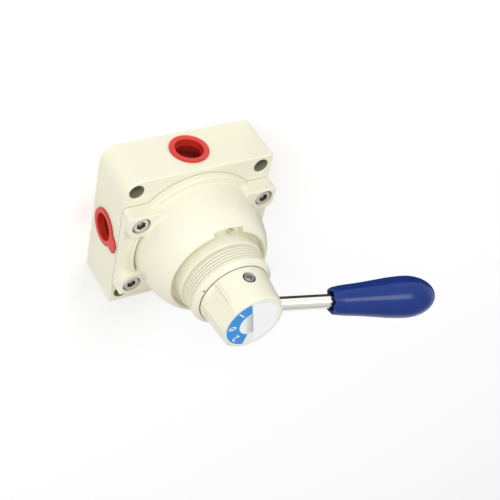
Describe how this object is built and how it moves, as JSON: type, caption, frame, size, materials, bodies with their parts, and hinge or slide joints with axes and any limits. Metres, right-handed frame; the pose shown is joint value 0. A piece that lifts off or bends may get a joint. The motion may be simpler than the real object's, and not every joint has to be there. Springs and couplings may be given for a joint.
{
  "type": "hand lever air valve",
  "caption": "Rotary-disc hand lever air valve: square ported base, domed bonnet with threaded neck, tapered hub with dial, rod lever and grip, capped ports.",
  "frame": {"origin": "centre of the base's underside, on the valve axis and the centre of the four mounting holes", "axes": "+Z along the valve axis from the base to the hub; +X the lever's direction at its middle position; +Y the port face beside the keyway"},
  "size_m": [0.1299, 0.0768, 0.1088],
  "materials": {
    "cream_casting": "satin",
    "seat_plate": "ground",
    "seal_rubber": "matte",
    "pin_steel": "ground",
    "screw_steel": "satin",
    "bush_brass": "satin",
    "rotor_alloy": "satin",
    "spring_steel": "satin",
    "washer_plastic": "matte",
    "bright_rod": "polished",
    "blue_grip": "gloss",
    "label_face": "satin",
    "red_plug": "satin"
  },
  "bodies": {
    "valve": {"port_base": "cream_casting", "port_plate": "seat_plate", "port_plate_seals": "seal_rubber", "seat_pin": "pin_steel", "bonnet": "cream_casting", "bonnet_seal": "seal_rubber", "bonnet_screws": "screw_steel", "stem_bush": "bush_brass", "detent_race": "pin_steel", "stop_pin": "pin_steel", "key_pin": "pin_steel"},
    "lever": {"rotor_disc": "rotor_alloy", "disc_spring": "spring_steel", "stem": "pin_steel", "stem_seals": "seal_rubber", "thrust_washer": "washer_plastic", "hub": "cream_casting", "hub_screw": "screw_steel", "set_screw": "screw_steel", "detent_springs": "spring_steel", "lever_rod": "bright_rod", "lever_grip": "blue_grip", "dial_label": "label_face"},
    "ball_a": {"detent_ball_a": "pin_steel"},
    "ball_b": {"detent_ball_b": "pin_steel"},
    "plug_px": {"port_plug_px": "red_plug"},
    "plug_py": {"port_plug_py": "red_plug"},
    "plug_nx": {"port_plug_nx": "red_plug"},
    "plug_ny": {"port_plug_ny": "red_plug"}
  },
  "joints": [
    {"name": "lever_turn", "type": "hinge", "parent": "valve", "child": "lever", "pos_m": [0, 0, 0], "axis": [0, 0, 1], "range_deg": [-45, 45]},
    {"name": "ball_a_drop", "type": "slide", "parent": "lever", "child": "ball_a", "axis": [0, 0, 1], "range_m": [-0.0004, 0]},
    {"name": "ball_b_drop", "type": "slide", "parent": "lever", "child": "ball_b", "axis": [0, 0, 1], "range_m": [-0.0004, 0]},
    {"name": "plug_px_pull", "type": "slide", "parent": "valve", "child": "plug_px", "axis": [1, 0, 0], "range_m": [0, 0.03]},
    {"name": "plug_py_pull", "type": "slide", "parent": "valve", "child": "plug_py", "axis": [0, 1, 0], "range_m": [0, 0.03]},
    {"name": "plug_nx_pull", "type": "slide", "parent": "valve", "child": "plug_nx", "axis": [-1, 0, 0], "range_m": [0, 0.03]},
    {"name": "plug_ny_pull", "type": "slide", "parent": "valve", "child": "plug_ny", "axis": [0, -1, 0], "range_m": [0, 0.03]}
  ]
}
